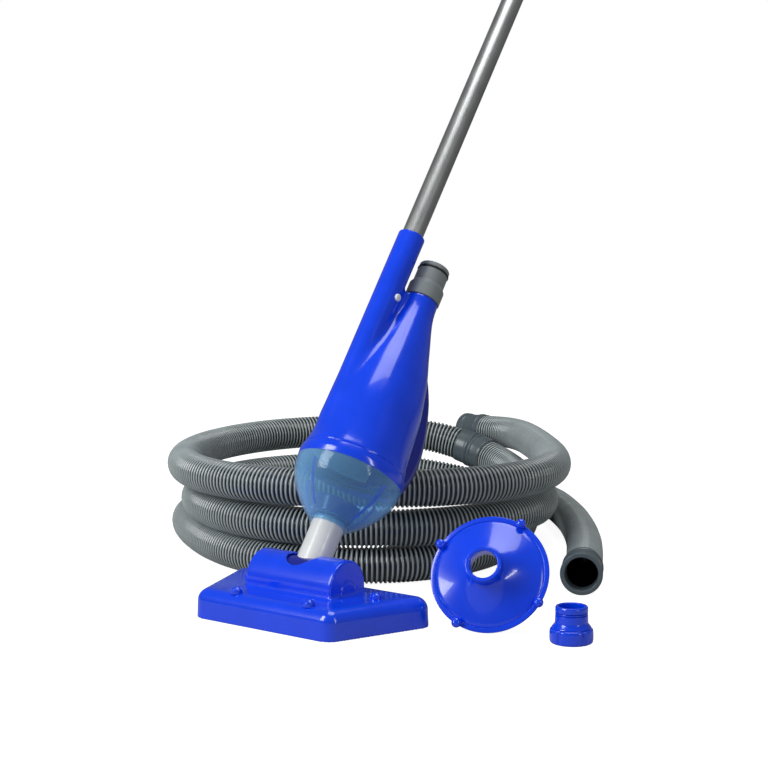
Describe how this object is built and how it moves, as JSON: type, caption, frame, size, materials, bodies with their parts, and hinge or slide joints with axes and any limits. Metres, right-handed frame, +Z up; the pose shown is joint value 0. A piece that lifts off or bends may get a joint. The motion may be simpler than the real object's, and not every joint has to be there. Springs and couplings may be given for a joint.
{
  "type": "pool cleaner",
  "caption": "Pool vacuum set: tilting suction head, clear debris bowl, bottle body on a telescopic pole, corrugated hose, skimmer plate and hose adaptor.",
  "frame": {"origin": "on the floor under the head's tilt hinge, on the sole of the head", "axes": "+Z up, +X along the tilt hinge, +Y the way the body leans"},
  "size_m": [0.8473, 0.8308, 0.8527],
  "materials": {
    "blue_gloss": "gloss",
    "blue_dark": "gloss",
    "bristle": "satin",
    "white_plastic": "satin",
    "grey_white": "satin",
    "clear_bowl": "gloss",
    "black_rubber": "matte",
    "steel": "satin",
    "mesh_fabric": "matte",
    "grey_plastic": "satin",
    "pole_metal": "satin",
    "grip_rubber": "matte",
    "hose_grey": "satin",
    "cuff_grey": "satin"
  },
  "bodies": {
    "head": {"head_shell": "blue_gloss", "head_base": "blue_dark", "brush_front": "bristle", "brush_rear": "bristle", "base_pegs": "blue_gloss", "hinge_bushes": "white_plastic", "hose_coil_top": "hose_grey", "hose_coil_mid": "hose_grey", "hose_coil_low": "hose_grey", "hose_lead": "hose_grey", "hose_crossover": "hose_grey", "hose_tail": "hose_grey", "cuff_start": "cuff_grey", "cuff_joint_a": "cuff_grey", "cuff_joint_b": "cuff_grey", "cuff_end": "cuff_grey"},
    "neck": {"neck_barrel": "blue_dark", "neck_tube": "grey_white"},
    "bowl": {"bowl": "clear_bowl", "neck_oring": "black_rubber", "inner_spout": "blue_dark", "flap_pin": "steel", "rim_gasket": "black_rubber", "bag_ring": "blue_dark", "filter_bag": "mesh_fabric"},
    "flap": {"check_flap": "black_rubber"},
    "body": {"body_shell": "blue_gloss", "rear_fairing": "blue_dark", "connector": "grey_plastic", "connector_oring": "black_rubber", "connector_gasket": "black_rubber", "pole_outer": "pole_metal", "clip_spring": "steel"},
    "button": {"snap_button": "white_plastic"},
    "lock": {"lock_collar": "blue_gloss"},
    "inner_pole": {"pole_inner": "pole_metal", "inner_guide": "white_plastic", "pole_grip": "grip_rubber", "pole_end_cap": "grip_rubber"},
    "plate": {"plate_cone": "blue_gloss", "plate_knobs": "blue_gloss", "plate_collar_ring": "blue_gloss"},
    "adaptor": {"adaptor_spigot": "blue_gloss", "adaptor_oring": "blue_gloss", "adaptor_washer": "black_rubber"},
    "nut": {"adaptor_nut": "blue_gloss"}
  },
  "joints": [
    {"name": "head_tilt", "type": "hinge", "parent": "head", "child": "neck", "pos_m": [0, 0, 0.0407], "axis": [1, 0, 0], "range_deg": [-3.5, 35.5]},
    {"name": "bowl_swivel", "type": "hinge", "parent": "neck", "child": "bowl", "pos_m": [0, 0, 0.0407], "axis": [0, 0.5878, 0.809], "continuous": true},
    {"name": "flap_swing", "type": "hinge", "parent": "bowl", "child": "flap", "pos_m": [0.0093, 0.07538, 0.11053], "axis": [-0.9063, 0.3419, -0.2484], "range_deg": [0, 60]},
    {"name": "body_release", "type": "slide", "parent": "bowl", "child": "body", "axis": [0, 0.5878, 0.809], "range_m": [0, 0.12]},
    {"name": "snap_press", "type": "slide", "parent": "body", "child": "button", "axis": [-0.9998, -0.0141, 0.0103], "range_m": [0, 0.005], "stiffness_N_per_m": 600, "springref_m": -0.003},
    {"name": "lock_twist", "type": "hinge", "parent": "body", "child": "lock", "pos_m": [-0.01881, 0.4664, 0.75126], "axis": [0, 0.5878, 0.809], "range_deg": [0, 90]},
    {"name": "pole_extend", "type": "slide", "parent": "body", "child": "inner_pole", "axis": [0, 0.5878, 0.809], "range_m": [0, 0.26]},
    {"name": "plate_lift", "type": "slide", "parent": "head", "child": "plate", "axis": [0, 0, 1], "range_m": [0, 0.15]},
    {"name": "adaptor_lift", "type": "slide", "parent": "head", "child": "adaptor", "axis": [0, 0, 1], "range_m": [0, 0.15]},
    {"name": "nut_spin", "type": "hinge", "parent": "adaptor", "child": "nut", "pos_m": [0.297, 0.0828, 0.01], "axis": [0, 0, 1], "continuous": true}
  ]
}
